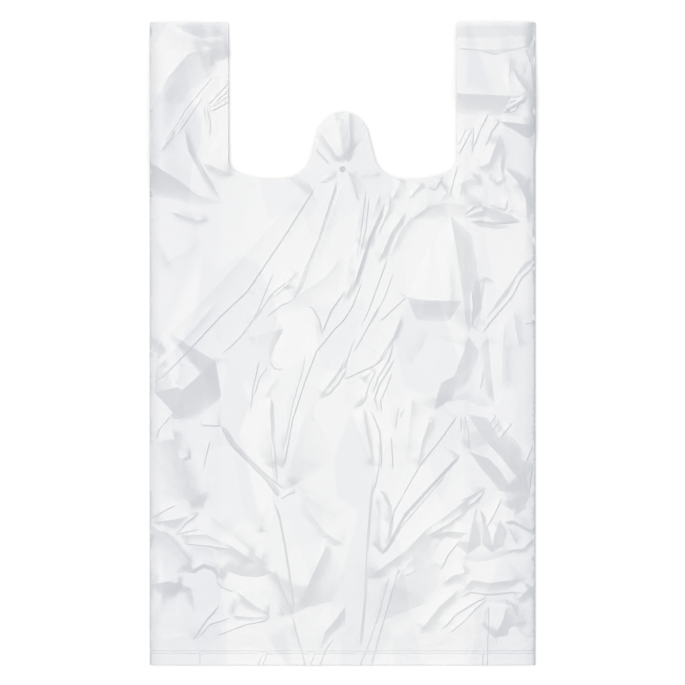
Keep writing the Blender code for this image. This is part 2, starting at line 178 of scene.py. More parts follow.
FRONT_FOLDS = (
    # Left handle
    Fold(((-92, 100.6), (-82, 98.6), (-73, 97.4), (-61, 98)), 0.0005, 0.012, 0.004, 0.7),
    Fold(((-75, 96.5), (-61, 95.6), (-50, 94)), 0.0008, 0.004, 0.012, 0.5, SOFT),
    Fold(((-128, 72), (-104, 84), (-90, 91.5), (-80, 95), (-68, 96.2), (-52, 95.5)),
         0.0031, 0.050, 0.024, 0.6),
    Fold(((-97, 78.6), (-82, 85.4), (-64, 91.7)), 0.0005, 0.0045, 0.014, 0.7),
    Fold(((-93, 81), (-80, 87), (-66, 92)), 0.00029, 0.004, 0.0007, 0.7),
    Fold(((-87, 82), (-72, 88.6)), 0.00022, 0.003, 0.0007, 0.7),
    Fold(((-70.2, 87), (-58, 91)), 0.00036, 0.003, 0.0010, 0.7),
    Fold(((-69.2, 86.7), (-58, 89.8)), 0.00036, 0.003, 0.0010, 0.7),
    Fold(((-68.1, 86.7), (-58, 88.8)), 0.00036, 0.003, 0.0007, 0.7),
    Fold(((-68.7, 86.1), (-58, 87.8)), 0.0005, 0.004, 0.0010, 0.7),
    Fold(((-69, 82), (-68.7, 84.5), (-71, 87)), 0.00029, 0.003, 0.0010, 0.6),
    Fold(((-71, 84), (-72, 87)), 0.00022, 0.003, 0.0007, 0.6),
    Fold(((-63.5, 72.2), (-68, 73.9), (-74.4, 77), (-80, 80), (-82, 84)),
         0.0006, 0.010, 0.006, 0.6, SOFT),
    Fold(((-64, 72.6), (-70, 75.4), (-75, 78.6)), 0.00029, 0.004, 0.0008, 0.6),
    Fold(((-74.4, 78.4), (-66, 77.4), (-56, 76)), 0.0010, 0.036, 0.008, 0.4),
    Fold(((-135, 86), (-98, 77.8), (-83.7, 75.2), (-76, 73.3), (-61, 71.8)),
         0.0034, 0.060, 0.027, 0.0),
    Fold(((-91, 70.8), (-84, 70), (-76, 69.2), (-66, 69.6)), 0.0007, 0.010, 0.008, 0.5, SOFT),
    # Hanging tab
    Fold(((-12.7, 83.6), (-5, 80), (0.3, 78)), 0.0009, 0.030, 0.006, 0.6),
    Fold(((-14, 80.4), (-6, 77.8)), 0.00029, 0.006, 0.0014, 0.6),
    Fold(((-4, 88), (1, 82), (3, 78)), 0.0005, 0.006, 0.003, 0.7),
    Fold(((3, 87), (4, 82), (3, 78)), 0.0004, 0.006, 0.018, 0.7, SOFT),
    Fold(((2, 77), (6, 76), (9, 72)), 0.0005, 0.006, 0.003, 0.6),
    Fold(((2, 77.4), (-3, 76.6), (-12, 75)), 0.0004, 0.003, 0.003, 0.6),
    Fold(((6, 76), (22, 76.4)), 0.0004, 0.008, 0.006, 0.5, SOFT),
    Fold(((8, 64.6), (10, 69), (12, 74)), 0.00043, 0.005, 0.0010, 0.7),
    Fold(((9, 64), (12, 68), (13.6, 73)), 0.00043, 0.004, 0.0010, 0.7),
    Fold(((12, 64), (15, 69), (20, 74)), 0.0008, 0.010, 0.006, 0.6),
    Fold(((17, 66), (24, 71), (25, 76)), 0.0006, 0.010, 0.008, 0.6, SOFT),
    # Right handle
    Fold(((50, 100), (106, 100)), 0.0014, 0.004, 0.012, 0.9),
    Fold(((56, 97.6), (78.5, 97.6), (87, 97.9), (99, 97.6)), 0.0020, 0.070, 0.0095, 0.9),
    Fold(((60, 96), (71, 95.7), (78.5, 95), (87, 95.7), (97, 96.4)),
         0.00022, 0.003, 0.0008, 0.9),
    Fold(((86, 89.6), (86.8, 95)), 0.0004, 0.006, 0.008, 0.4, SOFT),
    Fold(((96, 89), (92, 90.6), (88, 92.8)), 0.0004, 0.006, 0.003, 0.6, SOFT),
    Fold(((99, 89), (97.8, 93.4), (94.6, 95.8)), 0.00036, 0.005, 0.0008, 0.7),
    Fold(((52, 89), (79.5, 88.6), (96, 88.5), (104, 88.4)), 0.0023, 0.070, 0.016, 0.8),
    Fold(((83, 85.8), (88, 87), (96, 88.4)), 0.0007, 0.003, 0.003, 0.6),
    Fold(((85, 86), (87, 87.6), (91, 88)), 0.00036, 0.002, 0.0008, 0.6),
    Fold(((86, 85.8), (90, 86.4), (92, 87.8)), 0.00036, 0.002, 0.0010, 0.6),
    Fold(((67.6, 80.3), (71.2, 83.3), (76, 86)), 0.00043, 0.005, 0.0010, 0.7),
    Fold(((74, 80.6), (77, 83), (82, 85)), 0.00043, 0.006, 0.0014, 0.7),
    Fold(((67, 79.6), (67.8, 83.8)), 0.00036, 0.004, 0.0010, 0.7),
    Fold(((59.8, 79.2), (64, 81.6), (67.6, 83.6)), 0.00043, 0.005, 0.0010, 0.7),
    Fold(((60, 80.8), (64, 83.4)), 0.00029, 0.003, 0.0008, 0.7),
    Fold(((66, 77), (76, 78), (82, 83)), 0.0012, 0.024, 0.014, 0.5, SOFT),
    Fold(((81, 84.6), (90, 84.3), (118, 83)), 0.0044, 0.070, 0.013, 0.1),
    Fold(((84, 70), (88, 71), (85, 74), (82, 77.6), (83, 80)), 0.0004, 0.006, 0.004, 0.6),
    Fold(((75, 71.8), (84, 71), (86, 73)), 0.0004, 0.006, 0.003, 0.6),
    Fold(((96, 68.6), (95, 72.6), (90, 75.4), (84, 77.4)), 0.0010, 0.014, 0.007, 0.5),
    Fold(((75, 76.4), (80, 75), (86, 76)), 0.0006, 0.008, 0.006, 0.5, SOFT),
    Fold(((60, 72), (62, 75), (68, 76), (74, 74)), 0.0008, 0.008, 0.010, 0.5, SOFT),
    Fold(((98, 76), (94, 74.6), (88, 74.8)), 0.0005, 0.008, 0.008, 0.5, SOFT),
    # Mouth edge
    Fold(((34, 72.4), (42, 75.2)), 0.0006, 0.004, 0.005, 0.6),
    Fold(((44, 74.4), (48, 74), (52, 76)), 0.00036, 0.003, 0.0014, 0.6),
    Fold(((55, 72.6), (58, 76), (60, 78)), 0.00036, 0.005, 0.0010, 0.6),
    Fold(((50, 71.8), (54, 73.6), (48, 76)), 0.0005, 0.004, 0.004, 0.6),
    Fold(((26, 72.4), (31, 75.8)), 0.0006, 0.006, 0.008, 0.6),
    # Below the right handle
    Fold(((36, 69.4), (45, 71.4), (54, 71.9), (65, 71.4), (73, 72.2)),
         0.0009, 0.014, 0.010, 0.6),
    Fold(((63.5, 70), (68, 71.3), (72.8, 71.4)), 0.00043, 0.003, 0.0008, 0.6),
    Fold(((64, 69.8), (73, 70.8), (82, 69.8), (92.5, 68.9)), 0.0008, 0.003, 0.006, 0.6),
    Fold(((66, 69), (80, 68.4), (92, 68.8)), -0.0005, 0.002, 0.003, 0.6),
    Fold(((24, 63), (30, 67.4), (38, 70.6), (46, 71.6)), 0.0005, 0.014, 0.006, 0.5),
    Fold(((18, 62), (25, 67), (34, 71)), 0.0008, 0.008, 0.004, 0.6),
    Fold(((6, 59), (13, 66), (22, 72)), 0.0007, 0.008, 0.003, 0.7),
    Fold(((0, 56), (6, 60), (8, 66)), 0.0008, 0.008, 0.005, 0.6),
    # Long folds that fan out from the tab
    Fold(((-98.2, 61.4), (-81.6, 64.3), (-71.2, 66.7)), 0.0008, 0.050, 0.022, 0.4, SOFT),
    Fold(((-98.7, 48.7), (-65, 59), (-45, 65.6), (-17, 75)), 0.0009, 0.030, 0.017, 0.9),
    Fold(((-98.2, 43.5), (-81.6, 48.4), (-64, 54.1), (-49.5, 58.2), (-28, 67.8), (-13, 75)),
         0.00036, 0.012, 0.0011, 0.9),
    Fold(((-97, 45.9), (-81.6, 50.9), (-65, 56.5)), 0.0004, 0.004, 0.006, 0.7),
    Fold(((-85.2, 43.2), (-84.2, 47.4)), 0.0006, 0.006, 0.010, 0.6, SOFT),
    Fold(((-49.5, 58), (-45.3, 57.9)), 0.00022, 0.002, 0.0007, 0.7),
    Fold(((-25.4, 56.8), (-22.7, 59), (-18.9, 62.1), (-12.7, 66.1), (-3, 75.4)),
         0.0006, 0.007, 0.003, 0.8),
    Fold(((-22.5, 58), (-18.4, 61.1), (-11.1, 65.5), (0, 75)), 0.0003, 0.003, 0.005, 0.8),
    # Small creases between the long folds
    Fold(((-63.5, 48.1), (-53.6, 50.9), (-47.4, 53.3), (-43.8, 55.2), (-38.1, 59.6), (-35, 61.4)),
         0.00029, 0.006, 0.0008, 0.8),
    Fold(((-46.4, 53.3), (-40.2, 56.2), (-36, 58), (-27.7, 59.9)), 0.00029, 0.004, 0.0008, 0.7),
    Fold(((-40.2, 54), (-31.9, 56), (-25.6, 56.8)), 0.00029, 0.004, 0.0008, 0.7),
    Fold(((-36, 57.1), (-27.7, 59.4)), 0.00022, 0.003, 0.0007, 0.7),
    Fold(((-28.7, 58.4), (-27.7, 60), (-23, 61.1)), 0.0008, 0.006, 0.006, 0.6),
    Fold(((-30.8, 55.8), (-19.4, 58.3), (-9, 60.2), (1.3, 64.3)),
         0.0006, 0.018, 0.014, 0.6, SOFT),
    Fold(((-10.6, 51.3), (-12.4, 53.7), (-15.8, 55.5), (-20.5, 55.8)),
         0.00036, 0.007, 0.0010, 0.6),
    Fold(((-11.1, 51.2), (-9.1, 53), (-6, 55.2), (1.3, 58.3)), 0.00036, 0.007, 0.0014, 0.7),
    Fold(((-49.5, 50.9), (-40.2, 51.6), (-30.8, 52.4)), 0.0005, 0.020, 0.010, 0.6),
    Fold(((-37.6, 47.4), (-36, 48.7), (-30.8, 52.3)), -0.0004, 0.004, 0.006, 0.6),
    Fold(((-37.6, 47.4), (-35, 46.2), (-30.8, 46)), 0.00022, 0.003, 0.0014, 0.6),
    Fold(((-47.9, 39.3), (-46.9, 42.4), (-44.3, 46.2), (-42.7, 47.7)),
         0.00029, 0.005, 0.0010, 0.7),
    Fold(((-45.9, 41.8), (-43.3, 44.6), (-38.1, 46.8)), 0.00029, 0.004, 0.0008, 0.7),
    Fold(((-40.2, 41.5), (-37.6, 43.1), (-33.9, 44.6)), 0.0003, 0.006, 0.004, 0.6),
    Fold(((-36, 30.5), (-36.8, 35), (-37.6, 39.6), (-37, 41.5)), 0.0005, 0.010, 0.003, 0.8),
    Fold(((-33.9, 28), (-35, 31.9), (-36, 35)), 0.00029, 0.003, 0.0008, 0.7),
    # Middle
    Fold(((-30.8, 30.5), (-26.2, 38.1), (-20.5, 43.4), (-13.7, 48.8), (-3.9, 52.4), (2.3, 54.1)),
         0.00043, 0.012, 0.0010, 0.9),
    Fold(((-30.8, 33.1), (-26.2, 40.3), (-20.5, 46.2), (-19.4, 48.7)),
         0.00022, 0.003, 0.0008, 0.8),
    Fold(((-12.2, 41.5), (-7, 43.7), (-2.3, 45.6), (1.3, 47.7)), 0.0007, 0.008, 0.005, 0.7),
    Fold(((-9, 41.7), (-2.8, 43.7), (2.3, 46.2)), 0.00029, 0.003, 0.0014, 0.7),
    Fold(((-31, 27), (-26.7, 31), (-23.6, 35), (-19.4, 38.7), (-15.3, 40.7)),
         0.0013, 0.034, 0.028, 0.2),
    Fold(((-29.8, 29), (-14.2, 25.3), (1.3, 21.9)), -0.0004, 0.010, 0.010, 0.7, SOFT),
    Fold(((1.3, 18.5), (-9.1, 20.6), (-16.3, 23.4), (-23.6, 26.6)), 0.0005, 0.006, 0.012, 0.7),
    Fold(((0.8, 44.5), (9.1, 45.6), (17.4, 46.8), (21.3, 47.8)), 0.00043, 0.018, 0.0010, 0.8),
    Fold(((17.4, 46.8), (26.7, 51.2), (30.8, 54.3)), 0.0006, 0.012, 0.004, 0.7),
    Fold(((0.8, 46.2), (6.5, 51.2)), 0.00029, 0.005, 0.0008, 0.7),
    Fold(((4.9, 48.4), (9.1, 50.5), (19.4, 56.2)), 0.00036, 0.007, 0.0010, 0.7),
    Fold(((-1.3, 52.9), (4.9, 55.8), (10.1, 59.7)), 0.00043, 0.008, 0.0010, 0.7),
    Fold(((9.1, 52.4), (14.2, 55.8), (19.4, 60.2), (23.6, 63.6)), 0.00036, 0.006, 0.0010, 0.7),
    Fold(((14.2, 52.7), (21.5, 57.1), (26.7, 61.4)), 0.00022, 0.005, 0.0008, 0.7),
    Fold(((4.9, 58), (9.1, 62.1), (13.2, 65.2)), 0.0006, 0.008, 0.005, 0.6, SOFT),
    Fold(((0.8, 43.9), (5.4, 42.1), (10.6, 40.4)), 0.0006, 0.012, 0.010, 0.7),
    Fold(((10.1, 44.6), (16.8, 45.9)), 0.0007, 0.006, 0.006, 0.6),
    Fold(((11.1, 41.2), (13.7, 43.7), (17.4, 45.9)), 0.00029, 0.003, 0.0008, 0.7),
    Fold(((15.8, 42.3), (17.9, 44.6), (23.6, 47.4), (26.2, 49.9)), 0.00043, 0.007, 0.0014, 0.7),
    Fold(((18.4, 39.3), (16.3, 41.5), (18.9, 43.7), (27.2, 47.7)), 0.00036, 0.006, 0.0014, 0.7),
    Fold(((20.5, 39), (19.4, 41.2), (22.5, 43.1), (25.6, 45.6)), 0.00029, 0.003, 0.0010, 0.7),
    Fold(((27.5, 36.7), (28.2, 38.7), (29.3, 40.3)), 0.00022, 0.002, 0.0007, 0.7),
    Fold(((29.8, 38.4), (32.1, 40)), 0.00022, 0.002, 0.0007, 0.7),
    Fold(((19.9, 30.5), (19.7, 33.4), (18.9, 36.2), (14.2, 39.6)), 0.00043, 0.008, 0.0014, 0.8),
    Fold(((25.9, 30.5), (25.4, 33.4), (24.8, 35.6)), 0.00036, 0.006, 0.0010, 0.8),
    Fold(((16.3, 30.5), (12.2, 36.5), (10.3, 40)), 0.0008, 0.014, 0.006, 0.7, SOFT),
    # Right of the middle
    Fold(((19.4, 53.5), (26.2, 55.4), (33.2, 57.3)), 0.00036, 0.010, 0.0010, 0.8),
    Fold(((33.2, 57.3), (43.3, 56.7), (62.5, 56.6)), 0.0019, 0.045, 0.016, 0.5),
    Fold(((65.5, 51.6), (63.5, 54.3), (61.4, 60), (58.3, 66), (56, 70)),
         0.0014, 0.016, 0.014, 0.6),
    Fold(((70.2, 51.9), (72.3, 55.8), (73.8, 59), (74.4, 60.4)), -0.0007, 0.008, 0.010, 0.8),
    Fold(((67.1, 52.4), (67.6, 55.8), (67.1, 58.3)), 0.00022, 0.002, 0.0007, 0.7),
    Fold(((70.2, 52.1), (79.5, 56.2), (87.8, 59.6), (94, 62.4), (106, 64.6)),
         0.0006, 0.024, 0.006, 0.8),
    Fold(((71.2, 51.2), (75.4, 53), (87.8, 57.4), (92.5, 60.2), (106, 64)),
         0.00036, 0.003, 0.0014, 0.8),
    Fold(((92.5, 48.7), (89.9, 52.1), (88.7, 55.5)), 0.0004, 0.012, 0.010, 0.6, SOFT),
    Fold(((94, 53.1), (103, 53.4)), 0.00029, 0.004, 0.0007, 0.7),
    Fold(((47.9, 39.6), (48.4, 41.2), (51.3, 43.9), (57.8, 44.9), (62.4, 48.4), (65.2, 51.3)),
         0.0011, 0.030, 0.012, 0.7),
    Fold(((48.4, 39.6), (54.7, 41), (65, 41.2), (70.2, 40.3), (79.5, 40.2)),
         -0.0005, 0.008, 0.012, 0.7),
    Fold(((79, 40.3), (77.5, 44.3), (75.9, 50.5), (75.4, 51.5)), -0.0005, 0.006, 0.012, 0.7),
    Fold(((83.2, 40.6), (82.8, 47.4), (83.7, 52.1), (86.8, 55.5)),
         0.0005, 0.014, 0.012, 0.5, SOFT),
    Fold(((71.2, 42.8), (72.5, 44.6), (72.8, 45.9)), 0.00029, 0.004, 0.0008, 0.7),
    Fold(((38.6, 30.5), (41.7, 35), (46.4, 39.3)), 0.0007, 0.016, 0.008, 0.7, SOFT),
    Fold(((32.9, 30.5), (35, 38.1), (37, 44.3)), 0.0008, 0.030, 0.016, 0.4, SOFT),
    Fold(((33.9, 46.2), (40.2, 48.7), (45.3, 52.1)), -0.0004, 0.012, 0.016, 0.6, SOFT),
    Fold(((61.4, 36.2), (61.1, 38.7)), 0.00029, 0.004, 0.0008, 0.7),
    Fold(((64, 33.7), (63.5, 38.7)), 0.00029, 0.004, 0.0008, 0.7),
    Fold(((65.9, 33.4), (65, 36.5), (63.2, 38.7)), 0.00029, 0.003, 0.0008, 0.7),
    # Broad dark facet on the left and what lies round it
    Fold(((-97.7, 42.4), (-85.2, 43.2), (-83.2, 42.7), (-66, 47.3)), 0.0031, 0.046, 0.024, 0.5),
    Fold(((-62.9, 38.6), (-64.3, 44.5), (-66, 47.8)), -0.0004, 0.010, 0.016, 0.8),
    Fold(((-73.8, 37.4), (-63, 37.2)), 0.00043, 0.010, 0.0010, 0.7),
    Fold(((-63, 37.1), (-56.7, 34), (-46.4, 30.9), (-40.2, 29.1), (-32.9, 26.1)),
         0.00043, 0.003, 0.0010, 0.9),
    Fold(((-60.9, 36.2), (-57.8, 34.3), (-44.3, 30.9), (-30.8, 27.5)),
         0.00036, 0.008, 0.0010, 0.9),
    Fold(((-96.6, 35), (-95.6, 36.5), (-88.9, 38.9)), 0.00029, 0.004, 0.0008, 0.7),
    Fold(((-71.2, 24.1), (-79.5, 27.8), (-83.7, 31.5), (-87, 35), (-88.9, 37.5)),
         0.0016, 0.026, 0.018, 0.7, SOFT),
    Fold(((-36, 14.7), (-50.5, 18.5), (-60.9, 21.3), (-71.2, 24.1)),
         0.0009, 0.014, 0.020, 0.6, SOFT),
    Fold(((-72.3, 30.5), (-71.2, 32.2), (-68.7, 35.1)), 0.00029, 0.005, 0.0008, 0.7),
    Fold(((-83.2, 32), (-78.5, 32.8)), 0.0005, 0.008, 0.003, 0.6),
    # Lower left
    Fold(((-98.7, 22.8), (-92, 24.1), (-86.3, 24.9)), 0.00043, 0.008, 0.0008, 0.7),
    Fold(((-98.2, 22.1), (-83.7, 22.8), (-74.3, 23.6)), 0.0009, 0.014, 0.008, 0.6),
    Fold(((-86.8, 20.3), (-80.6, 22.2), (-74.1, 23.7)), 0.00036, 0.003, 0.0008, 0.7),
    Fold(((-86.8, 20.2), (-80.6, 20.8), (-74.3, 21.1)), 0.00036, 0.006, 0.0008, 0.7),
    Fold(((-86.8, 20), (-71.2, 20.3), (-57.8, 18.5), (-44.3, 15.7)),
         0.0010, 0.016, 0.018, 0.7, SOFT),
    Fold(((-82.6, 18.9), (-71.2, 18.6), (-57.8, 18)), 0.00029, 0.005, 0.0008, 0.8),
    Fold(((-77.5, 15), (-81.6, 16.9), (-88.9, 19.4), (-98.2, 21.6)),
         0.0010, 0.026, 0.008, 0.8, SOFT),
    Fold(((-79, 14.3), (-76.9, 14.9), (-72.3, 15.7), (-66.6, 15.2), (-63.8, 14.2), (-65.5, 13.4)),
         0.0007, 0.006, 0.003, 0.8),
    Fold(((-65.5, 13.4), (-63, 12.2), (-56.7, 11.4)), 0.00036, 0.004, 0.0010, 0.7),
    Fold(((-99.2, 12.5), (-89.9, 13), (-81.6, 12.1)), 0.0013, 0.016, 0.014, 0.5, SOFT),
    Fold(((-93, 3.8), (-90.9, 7.6), (-86.3, 10.4), (-78, 11.8)), -0.0009, 0.010, 0.018, 0.7),
    Fold(((-77.5, 3.8), (-74.3, 5.4), (-70.2, 7.2), (-64, 9.3)), 0.0005, 0.008, 0.0014, 0.7),
    Fold(((-75.2, 4.1), (-69.2, 6.3), (-57.8, 7.4)), 0.00036, 0.004, 0.0010, 0.7),
    Fold(((-65, 4.6), (-50.5, 6.3), (-40.2, 6.9), (-37.6, 7.4)), 0.00043, 0.006, 0.0010, 0.8),
    Fold(((-56.7, 7.6), (-46.4, 7.4), (-37.6, 7.6)), 0.0004, 0.006, 0.003, 0.8),
    Fold(((-54.7, 11.4), (-46.4, 9.4), (-38.1, 7.9)), 0.0006, 0.010, 0.006, 0.7),
    Fold(((-57.8, 7.6), (-56.7, 9.4), (-55.7, 11.1)), 0.0004, 0.006, 0.006, 0.6, SOFT),
    Fold(((-64, 15), (-52.6, 13.8), (-44.3, 13.6), (-36, 14.3)), -0.0006, 0.007, 0.012, 0.7),
    Fold(((-43.3, 20), (-41.2, 23.8), (-37, 25.3)), 0.0006, 0.012, 0.012, 0.6, SOFT),
    Fold(((-25.6, 7.6), (-29.8, 10.4), (-36, 15)), 0.00036, 0.006, 0.0010, 0.8),
    Fold(((-25.1, 7.7), (-26.7, 11.6), (-29.8, 17.5), (-32.9, 22.5), (-36, 25.6)),
         0.0004, 0.014, 0.0016, 0.8),
    Fold(((-24.6, 7.9), (-23.1, 9.7), (-19.4, 12.2), (-13.2, 15.7), (-7.8, 19.7)),
         0.0015, 0.032, 0.025, 0.3),
    Fold(((-22.5, 9.1), (-16.3, 13.5), (-8, 18.8)), 0.0004, 0.0027, 0.008, 0.8),
    Fold(((-18.4, -2), (-21.5, 2), (-24.6, 5.1), (-26.2, 7.4)), 0.00043, 0.006, 0.0014, 0.8),
    Fold(((-29.8, 7.6), (-33.9, 9.1)), 0.00029, 0.004, 0.0008, 0.7),
    Fold(((-31.9, 25.8), (-28.2, 26.6), (-24.6, 26.8)), 0.00036, 0.004, 0.0008, 0.7),
    Fold(((-16, -2), (-9.1, 5.1), (-3.9, 6.9), (1.3, 9.1)), 0.0007, 0.012, 0.006, 0.8),
    Fold(((-14.6, -2), (-8.5, 2.6), (-4.4, 4.3)), 0.00036, 0.003, 0.0008, 0.8),
    Fold(((-19, -2), (-14.2, 2.1)), 0.00036, 0.003, 0.0008, 0.7),
    Fold(((-47, -2), (-41.2, 2)), 0.00036, 0.003, 0.0008, 0.7),
    Fold(((-44.6, -2), (-38.6, 2.1)), 0.00036, 0.003, 0.0008, 0.7),
    Fold(((-74, -3), (-74.3, 2.4)), 0.00036, 0.003, 0.0008, 0.7),
    # Upright pleat in the middle
    Fold(((8.6, -6), (9.1, 3.8), (11.1, 10), (12.2, 17.5), (14.2, 25.6), (16.5, 30.3)),
         0.0003, 0.012, 0.0022, 0.9),
    Fold(((16.3, 27.2), (18.4, 30.3), (19.4, 35)), 0.00029, 0.004, 0.0010, 0.8),
    Fold(((23, 18.8), (24.6, 22.5), (23.6, 24.7), (19.4, 27.2)), 0.0006, 0.008, 0.003, 0.8),
    Fold(((19.9, 17.5), (18.9, 22.5), (18.4, 27.2)), 0.0005, 0.008, 0.006, 0.7, SOFT),
    # Fan of folds right of the pleat
    Fold(((24.6, 21.6), (26.7, 24.1), (40.2, 31.2), (50.5, 35), (59.8, 39)),
         0.00036, 0.008, 0.0010, 0.9),
    Fold(((20.5, 17.2), (31.9, 23.4), (43.3, 27.2), (56.7, 31.5), (60.9, 32.6)),
         0.0008, 0.014, 0.0025, 0.9),
    Fold(((22.5, 17.5), (29.8, 21.3), (40.2, 25), (54.7, 30)), 0.00022, 0.003, 0.0010, 0.8),
    Fold(((13.2, 13.5), (32.9, 17.8), (43.3, 21), (54.7, 23.4), (65, 25.9), (74.9, 27.5)),
         0.0009, 0.018, 0.008, 0.8),
    Fold(((14, 6), (32, 15), (52, 22)), 0.0015, 0.050, 0.030, 0.2),
    Fold(((60.9, 25.5), (67.1, 26.4), (73.3, 27.3)), 0.00029, 0.004, 0.0008, 0.7),
    Fold(((65, 24.7), (69.2, 25.5), (73.8, 27)), 0.00036, 0.003, 0.0008, 0.7),
    Fold(((43.3, 20), (54.7, 21.9), (65, 24.1)), 0.0005, 0.008, 0.006, 0.7, SOFT),
    Fold(((46.4, 20), (54.7, 20.8), (65, 20.5)), 0.0006, 0.008, 0.005, 0.6),
    Fold(((51, 14.7), (54.7, 17.2), (60.6, 19.3)), 0.00043, 0.010, 0.0010, 0.7),
    Fold(((51, 12.4), (56.7, 13.8), (66.6, 14.7)), 0.0006, 0.008, 0.006, 0.6),
    Fold(((39.1, 4.8), (50.5, 9.1), (60.9, 11.9)), 0.0006, 0.014, 0.010, 0.7, SOFT),
    Fold(((12, -3), (19.4, 5.1), (24.6, 10.4), (29, 15.2)), 0.00036, 0.007, 0.0008, 0.9),
    Fold(((5, -3), (12.2, 2.3), (18.4, 7.6), (24.1, 13.8)), 0.00029, 0.005, 0.0008, 0.9),
    Fold(((32.4, 14), (38.1, 14.6)), 0.00022, 0.004, 0.0007, 0.7),
    # Lower right
    Fold(((65, 39), (73.3, 35), (81.6, 32.5), (89.9, 29.4), (97.1, 26.7)),
         0.0020, 0.017, 0.017, 0.6),
    Fold(((66, 33.1), (75.4, 32.2), (81.6, 30.3), (86.8, 27.8), (89.9, 24.7), (88.9, 23.1)),
         0.0013, 0.014, 0.010, 0.6),
    Fold(((76.4, 37.7), (79.7, 38.8)), 0.00029, 0.003, 0.0007, 0.7),
    Fold(((78, 36.8), (81.6, 37.9)), 0.00029, 0.003, 0.0007, 0.7),
    Fold(((79.5, 36.2), (82.8, 37.1)), 0.00022, 0.003, 0.0007, 0.7),
    Fold(((81.6, 35.4), (84.7, 36.5), (88, 37.6)), 0.00043, 0.004, 0.0008, 0.7),
    Fold(((95, 31.5), (97.1, 33.1), (98.7, 34.3)), 0.00043, 0.004, 0.0008, 0.7),
    Fold(((96.6, 26.9), (97.7, 29.4), (99.2, 30.9)), 0.00043, 0.004, 0.0008, 0.7),
    Fold(((65, 17.2), (66, 20), (69.2, 24.5)), 0.0010, 0.014, 0.010, 0.5),
    Fold(((74.4, 21.3), (78.5, 23.4), (82.4, 25.9)), 0.00043, 0.004, 0.0008, 0.7),
    Fold(((77.5, 17.5), (75.4, 19.4), (73.3, 21.6), (71.2, 24.1)), 0.0006, 0.004, 0.003, 0.7),
    Fold(((77.5, 17.5), (78.5, 20), (81.6, 22.5)), 0.0009, 0.010, 0.009, 0.5),
    Fold(((83.7, 22.2), (88.9, 22.5), (98.2, 21), (99.4, 20.2)), 0.0006, 0.008, 0.003, 0.7),
    Fold(((85.8, 17.8), (94, 18.1), (99.2, 19.7)), 0.0006, 0.006, 0.004, 0.7),
    Fold(((86.8, 21.3), (90.9, 18.8)), 0.00029, 0.004, 0.0010, 0.7),
    Fold(((60.9, 16.6), (69.2, 16), (77.5, 16.3), (84.7, 17.1), (99.2, 18.8)),
         -0.0003, 0.006, 0.010, 0.8),
    Fold(((60.9, 11), (67.1, 13.2), (76.4, 12.7), (87.8, 13.2), (95, 13.5)),
         0.0008, 0.014, 0.008, 0.6),
    Fold(((60.9, 10.4), (66, 11.4), (76.4, 11), (88.9, 11.4), (94.6, 11.1)),
         0.00029, 0.006, 0.0014, 0.8),
    Fold(((51.6, 5.4), (58.8, 7.9), (70.2, 10), (75.4, 10.5)), 0.00043, 0.006, 0.0010, 0.8),
    Fold(((54.7, 4.8), (63, 6.8), (70.2, 9.1), (74.9, 10.2)), 0.00036, 0.003, 0.0008, 0.8),
    Fold(((74.6, -3), (75.1, 3.8), (75.6, 9.1)), 0.00036, 0.004, 0.0010, 0.9),
    Fold(((71.6, -3), (73.1, 2.6)), 0.00036, 0.003, 0.0008, 0.7),
    Fold(((78.5, 4.3), (81.6, 6), (83.9, 7.6), (84.9, 10.2)), 0.0011, 0.016, 0.010, 0.7),
    Fold(((93, 5.6), (88.4, 8.8), (86.3, 10.2)), 0.0006, 0.006, 0.008, 0.6),
    Fold(((78.5, 4.2), (88.9, 3.5), (99.2, 4.4)), -0.0005, 0.005, 0.006, 0.7),
    Fold(((89.9, 10), (98, 12.2)), 0.0006, 0.010, 0.006, 0.6),
)

# Shallow creases of the back panel, pressed up between the panel and the floor
BACK_FOLDS = (
    Fold(((-55, 8), (-20, 30)), 0.0007, 0.012, 0.010),
    Fold(((-50, 62), (-8, 40)), 0.0007, 0.014, 0.012),
    Fold(((-30, 70), (20, 58)), 0.0006, 0.012, 0.012),
    Fold(((5, 10), (18, 45)), 0.0007, 0.012, 0.014),
    Fold(((25, 36), (56, 66)), 0.0007, 0.012, 0.012),
    Fold(((30, 28), (55, 8)), 0.0006, 0.012, 0.010),
)

# Geometry


def clamp(value):
    return np.clip(value, 0.0, 1.0)


def press(y):
    """Share of the loose layer spacing that is left near a weld."""
    to_weld = np.minimum(abs(y - SEAL_Y), TOP - y)
    return WELD_PRESS + (1 - WELD_PRESS) * clamp((to_weld - WELD_FLAT) / WELD_SPREAD)


def front_level(x):
    over_gusset = clamp((abs(x) - STEP_EDGE) / STEP_RUN)
    return MIDDLE_LEVEL + (FRONT_LEVEL - MIDDLE_LEVEL) * over_gusset


def layer_height(level, y):
    return FILM / 2 + level * LAYER_PITCH * press(y)


def billow(x, y):
    """How far the loose middle of the front panel stands above its edges."""
    side = clamp((EDGE - abs(x)) / BILLOW_SPREAD)
    to_weld = np.minimum(abs(y - SEAL_Y), TOP - y)
    return BILLOW * np.sin(side * math.pi / 2) * clamp(to_weld / BILLOW_SPREAD)


def freedom(x, y):
    """0 where a weld or a side fold holds the film flat, 1 where it is free."""
    side = 1 - EDGE_HOLD * (1 - clamp((EDGE - abs(x)) / EDGE_SPREAD))
    to_weld = np.minimum(abs(y - SEAL_Y), TOP - y)
    weld = 1 - WELD_HOLD * (1 - clamp((to_weld - WELD_FLAT) / WELD_SPREAD))
    pin = clamp((np.hypot(x, y - PIN_Y) - PIN_DIAMETER) / PIN_SPREAD)
    return side * weld * pin


def placed(fold):
    return [Vector((x / 100 * HALF, (y / 100 - 0.5) * BAG_LENGTH)) for x, y in fold.path]


